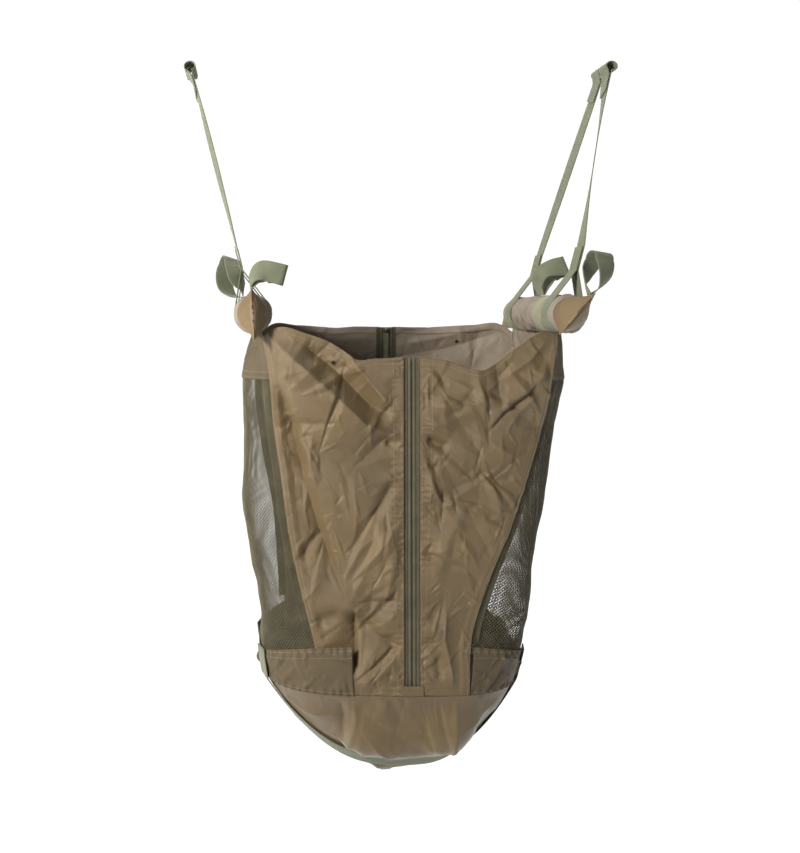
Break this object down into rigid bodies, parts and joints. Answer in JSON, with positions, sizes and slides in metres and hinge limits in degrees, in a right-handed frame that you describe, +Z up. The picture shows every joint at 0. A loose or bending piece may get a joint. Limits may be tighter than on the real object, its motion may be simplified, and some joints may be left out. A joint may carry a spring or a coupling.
{
  "type": "weigh sling",
  "caption": "Open-topped nylon bag with mesh sides and zipped ends, hung between padded bars by webbing straps for weighing a fish.",
  "frame": {"origin": "level with the tips of the hang straps, midway between the bars and between their ends", "axes": "+X across the bag towards the right bar, +Y along the bars away from the viewer, +Z up"},
  "size_m": [0.558, 0.2611, 0.912],
  "materials": {
    "webbing": "woven, matt",
    "olive_nylon": "thin coated nylon, soft sheen",
    "mesh_net": "knitted net",
    "foam": "closed-cell foam",
    "zip_coil": "nylon coil",
    "zip_metal": "dull plated"
  },
  "bodies": {
    "bag": {"bottom_panel": "olive_nylon", "left_lower_band": "olive_nylon", "right_lower_band": "olive_nylon", "near_girth": "webbing", "far_girth": "webbing", "near_panel_left": "olive_nylon", "near_panel_right": "olive_nylon", "near_hem_left": "olive_nylon", "near_hem_right": "olive_nylon", "near_zip_tape_left": "webbing", "near_zip_tape_right": "webbing", "near_zip_coil": "zip_coil", "near_zip_top_stop": "zip_metal", "near_zip_end_stop": "zip_metal", "far_panel_left": "olive_nylon", "far_panel_right": "olive_nylon", "far_hem_left": "olive_nylon", "far_hem_right": "olive_nylon", "far_zip_tape_left": "webbing", "far_zip_tape_right": "webbing", "far_zip_coil": "zip_coil", "far_zip_top_stop": "zip_metal", "far_zip_end_stop": "zip_metal"},
    "left_side": {"left_foam_core": "foam", "left_sleeve": "olive_nylon", "left_near_cap": "olive_nylon", "left_far_cap": "olive_nylon", "left_sleeve_band": "webbing", "left_top_band": "olive_nylon", "left_mesh_wall": "mesh_net", "left_near_mesh_tape": "webbing", "left_far_mesh_tape": "webbing"},
    "left_hanger": {"left_near_hang_strap": "webbing", "left_far_hang_strap": "webbing"},
    "left_end_loop": {"left_end_loop": "webbing"},
    "left_middle_loop": {"left_middle_loop": "webbing"},
    "right_side": {"right_foam_core": "foam", "right_sleeve": "olive_nylon", "right_near_cap": "olive_nylon", "right_far_cap": "olive_nylon", "right_sleeve_band": "webbing", "right_top_band": "olive_nylon", "right_mesh_wall": "mesh_net", "right_near_mesh_tape": "webbing", "right_far_mesh_tape": "webbing"},
    "right_hanger": {"right_near_hang_strap": "webbing", "right_far_hang_strap": "webbing"},
    "right_end_loop": {"right_end_loop": "webbing"},
    "right_middle_loop": {"right_middle_loop": "webbing"},
    "near_slider": {"near_zip_slider": "zip_metal"},
    "near_pull": {"near_pull_tab": "zip_metal"},
    "far_slider": {"far_zip_slider": "zip_metal"},
    "far_pull": {"far_pull_tab": "zip_metal"}
  },
  "joints": [
    {"name": "left_close", "type": "hinge", "parent": "bag", "child": "left_side", "pos_m": [-0.1795, 0, -0.755], "axis": [0, 1, 0], "range_deg": [0, 19], "deforming": ["near_panel_left", "near_hem_left", "far_panel_left", "far_hem_left"]},
    {"name": "right_close", "type": "hinge", "parent": "bag", "child": "right_side", "pos_m": [0.148, 0, -0.755], "axis": [0, -1, 0], "range_deg": [0, 19], "deforming": ["near_panel_right", "near_hem_right", "far_panel_right", "far_hem_right"]},
    {"name": "left_hang", "type": "hinge", "parent": "left_side", "child": "left_hanger", "pos_m": [-0.19, 0, -0.325], "axis": [0, -1, 0], "range_deg": [-45, 110]},
    {"name": "right_hang", "type": "hinge", "parent": "right_side", "child": "right_hanger", "pos_m": [0.19, 0, -0.325], "axis": [0, 1, 0], "range_deg": [-45, 110]},
    {"name": "left_end_flop", "type": "hinge", "parent": "left_side", "child": "left_end_loop", "pos_m": [-0.19164, -0.113, -0.29374], "axis": [0, -1, 0], "range_deg": [-3, 90], "stiffness_Nm_per_rad": 0.1},
    {"name": "right_end_flop", "type": "hinge", "parent": "right_side", "child": "right_end_loop", "pos_m": [0.21054, -0.113, -0.30138], "axis": [0, 1, 0], "range_deg": [-12, 40], "stiffness_Nm_per_rad": 0.1},
    {"name": "left_middle_flop", "type": "hinge", "parent": "left_side", "child": "left_middle_loop", "pos_m": [-0.20423, 0, -0.30223], "axis": [0, -1, 0], "range_deg": [-30, 25], "stiffness_Nm_per_rad": 0.1},
    {"name": "right_middle_flop", "type": "hinge", "parent": "right_side", "child": "right_middle_loop", "pos_m": [0.19, 0, -0.29815], "axis": [0, 1, 0], "range_deg": [-60, 15], "stiffness_Nm_per_rad": 0.1},
    {"name": "near_zip_slide", "type": "slide", "parent": "bag", "child": "near_slider", "axis": [0, 0.011, 0.9999], "range_m": [0, 0.363]},
    {"name": "near_pull_swing", "type": "hinge", "parent": "near_slider", "child": "near_pull", "pos_m": [0, -0.10226, -0.75828], "axis": [1, 0, 0], "range_deg": [0, 150]},
    {"name": "far_zip_slide", "type": "slide", "parent": "bag", "child": "far_slider", "axis": [0, -0.011, 0.9999], "range_m": [0, 0.397]},
    {"name": "far_pull_swing", "type": "hinge", "parent": "far_slider", "child": "far_pull", "pos_m": [0, 0.10226, -0.75828], "axis": [-1, 0, 0], "range_deg": [0, 150]}
  ]
}
